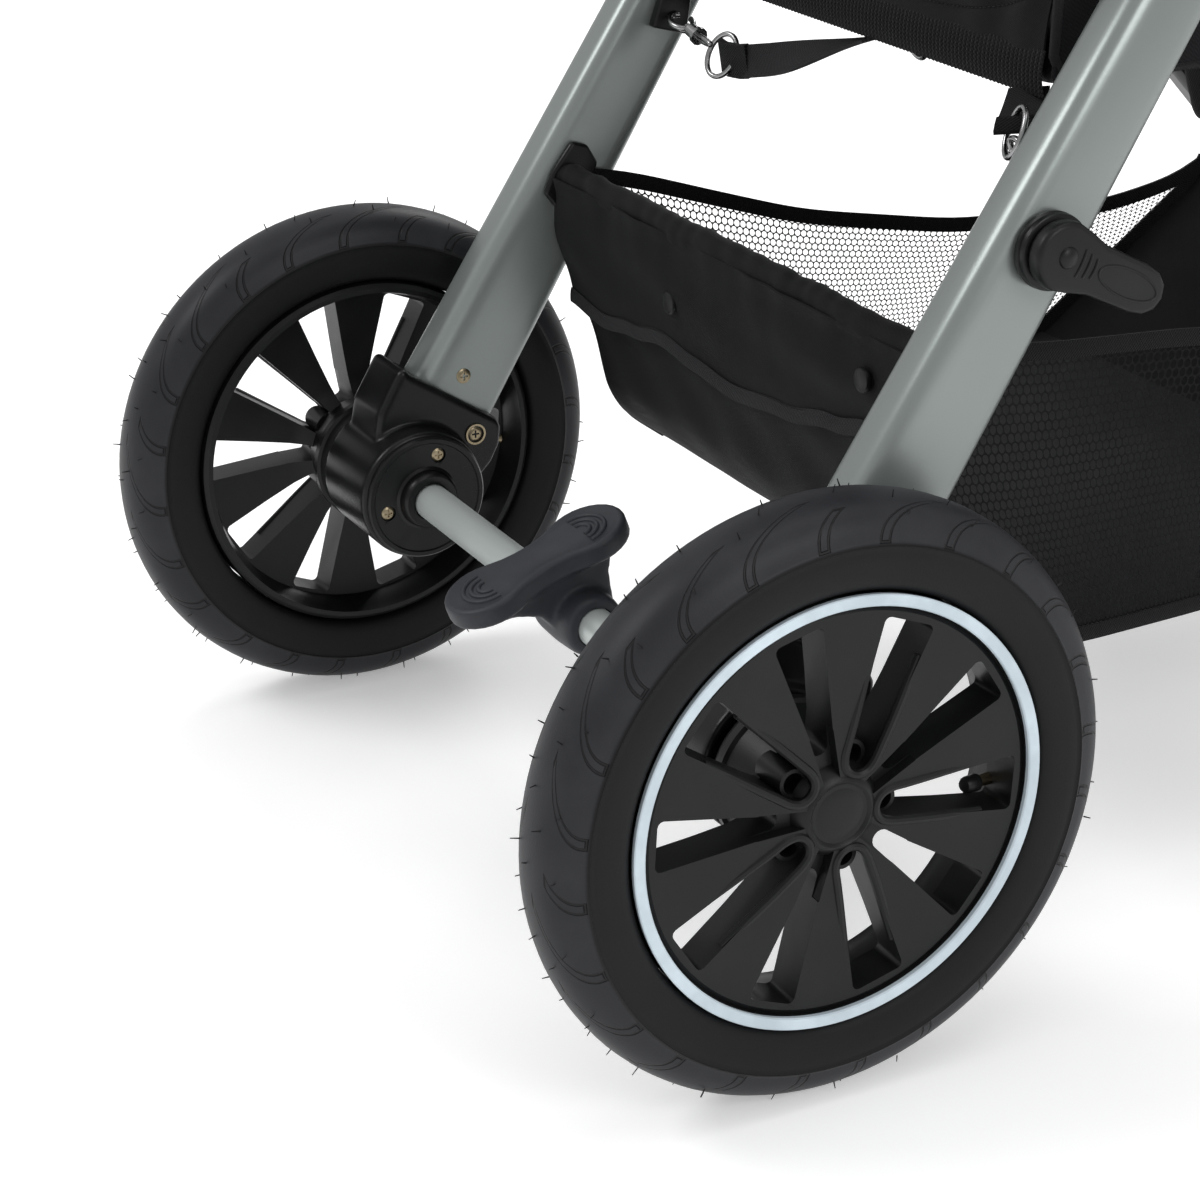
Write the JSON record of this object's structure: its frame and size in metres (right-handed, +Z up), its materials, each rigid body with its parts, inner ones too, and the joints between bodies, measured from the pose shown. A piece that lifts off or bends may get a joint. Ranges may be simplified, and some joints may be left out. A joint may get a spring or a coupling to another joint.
{
  "type": "baby stroller",
  "caption": "Folding baby stroller with large air-tyred rear wheels, swivel front wheels, mesh shopping basket, reclining seat, canopy and fold-down handle.",
  "frame": {"origin": "bottom centre of the whole stroller, on the floor", "axes": "+Z up, +Y towards the front wheels, +X to the stroller's right"},
  "size_m": [0.591, 0.874, 1.0513],
  "materials": {
    "silver_paint": "satin",
    "frame_paint": "satin",
    "black_plastic": "semi-gloss",
    "rim_plastic": "matte",
    "trim_ring": "satin",
    "tyre_rubber": "matte",
    "pedal_plastic": "matte",
    "basket_cloth": "woven",
    "seat_cloth": "woven",
    "canopy_cloth": "woven",
    "steel": "polished",
    "grip_foam": "matte"
  },
  "bodies": {
    "frame": {"frame_hub_left": "black_plastic", "frame_hub_right": "black_plastic", "front_leg_left": "frame_paint", "front_leg_right": "frame_paint", "caster_housing_left": "black_plastic", "caster_housing_right": "black_plastic", "bar_plate_left": "frame_paint", "bar_plate_right": "frame_paint", "front_bar": "frame_paint", "basket": "basket_cloth", "seat_mount_left": "black_plastic", "seat_mount_right": "black_plastic", "seat_side_left": "seat_cloth", "seat_side_right": "seat_cloth", "seat_base": "seat_cloth", "seat_cushion": "seat_cloth", "canopy_rear": "canopy_cloth"},
    "rear_frame": {"rear_hub_left": "black_plastic", "rear_hub_right": "black_plastic", "rear_leg_left": "silver_paint", "rear_leg_right": "silver_paint", "hub_bracket_left": "black_plastic", "hub_bracket_right": "black_plastic", "bracket_cover_left": "black_plastic", "bracket_cover_right": "black_plastic", "axle_tube": "silver_paint", "wheel_axle_left": "steel", "wheel_axle_right": "steel", "basket_bar": "frame_paint", "lever_boss": "black_plastic", "strap_lug_left": "black_plastic", "strap_lug_right": "black_plastic"},
    "pedal": {"brake_pedal": "pedal_plastic"},
    "release_lever": {"lever": "pedal_plastic"},
    "handle": {"handle": "frame_paint", "handle_grip": "grip_foam"},
    "backrest": {"backrest": "seat_cloth", "back_pad": "seat_cloth"},
    "footrest": {"footrest": "seat_cloth"},
    "bumper": {"bumper_bar": "grip_foam"},
    "canopy_middle": {"canopy_middle": "canopy_cloth"},
    "canopy_front": {"canopy_front": "canopy_cloth"},
    "rear_wheel_left": {"rear_tyre_left": "tyre_rubber", "rear_rim_left": "rim_plastic", "rear_trim_ring_left": "trim_ring", "rear_hub_cap_left": "rim_plastic"},
    "caster_left": {"fork_left": "black_plastic", "front_axle_left": "steel"},
    "front_wheel_left": {"front_tyre_left": "tyre_rubber", "front_rim_left": "rim_plastic"},
    "rear_wheel_right": {"rear_tyre_right": "tyre_rubber", "rear_rim_right": "rim_plastic", "rear_trim_ring_right": "trim_ring", "rear_hub_cap_right": "rim_plastic"},
    "caster_right": {"fork_right": "black_plastic", "front_axle_right": "steel"},
    "front_wheel_right": {"front_tyre_right": "tyre_rubber", "front_rim_right": "rim_plastic"}
  },
  "joints": [
    {"name": "frame_fold", "type": "hinge", "parent": "frame", "child": "rear_frame", "pos_m": [0, 0.01169, 0.6283], "axis": [1, 0, 0], "range_deg": [0, 30], "deforming": ["basket"]},
    {"name": "handle_fold", "type": "hinge", "parent": "frame", "child": "handle", "pos_m": [0, -0.0543, 0.69664], "axis": [1, 0, 0], "range_deg": [-125, 0]},
    {"name": "pedal_rock", "type": "hinge", "parent": "rear_frame", "child": "pedal", "pos_m": [0.027, -0.287, 0.15], "axis": [1, 0, 0], "range_deg": [-24, 0]},
    {"name": "lever_turn", "type": "hinge", "parent": "rear_frame", "child": "release_lever", "pos_m": [0.23, -0.14139, 0.38094], "axis": [1, 0, 0], "range_deg": [0, 80]},
    {"name": "backrest_recline", "type": "hinge", "parent": "frame", "child": "backrest", "pos_m": [0, -0.075, 0.512], "axis": [1, 0, 0], "range_deg": [0, 35]},
    {"name": "footrest_tilt", "type": "hinge", "parent": "frame", "child": "footrest", "pos_m": [0, 0.191, 0.45], "axis": [1, 0, 0], "range_deg": [0, 65]},
    {"name": "bumper_swing", "type": "hinge", "parent": "frame", "child": "bumper", "pos_m": [0, 0.031, 0.642], "axis": [1, 0, 0], "range_deg": [0, 70]},
    {"name": "canopy_fold", "type": "hinge", "parent": "frame", "child": "canopy_front", "pos_m": [0, -0.047, 0.77], "axis": [1, 0, 0], "range_deg": [0, 87]},
    {"name": "canopy_middle_fold", "type": "hinge", "parent": "frame", "child": "canopy_middle", "pos_m": [0, -0.047, 0.77], "axis": [1, 0, 0], "range_deg": [0, 43.5]},
    {"name": "rear_spin_left", "type": "hinge", "parent": "rear_frame", "child": "rear_wheel_left", "pos_m": [-0.2711, -0.287, 0.15], "axis": [1, 0, 0], "continuous": true},
    {"name": "swivel_left", "type": "hinge", "parent": "frame", "child": "caster_left", "pos_m": [-0.207, 0.365, 0.25], "axis": [0, 0, 1], "continuous": true},
    {"name": "front_spin_left", "type": "hinge", "parent": "caster_left", "child": "front_wheel_left", "pos_m": [-0.207, 0.333, 0.104], "axis": [1, 0, 0], "continuous": true},
    {"name": "rear_spin_right", "type": "hinge", "parent": "rear_frame", "child": "rear_wheel_right", "pos_m": [0.2711, -0.287, 0.15], "axis": [1, 0, 0], "continuous": true},
    {"name": "swivel_right", "type": "hinge", "parent": "frame", "child": "caster_right", "pos_m": [0.207, 0.365, 0.25], "axis": [0, 0, 1], "continuous": true},
    {"name": "front_spin_right", "type": "hinge", "parent": "caster_right", "child": "front_wheel_right", "pos_m": [0.207, 0.333, 0.104], "axis": [1, 0, 0], "continuous": true}
  ],
  "couplings": [
    {"joint": "canopy_middle_fold", "follows": "canopy_fold", "ratio": 0.5}
  ]
}
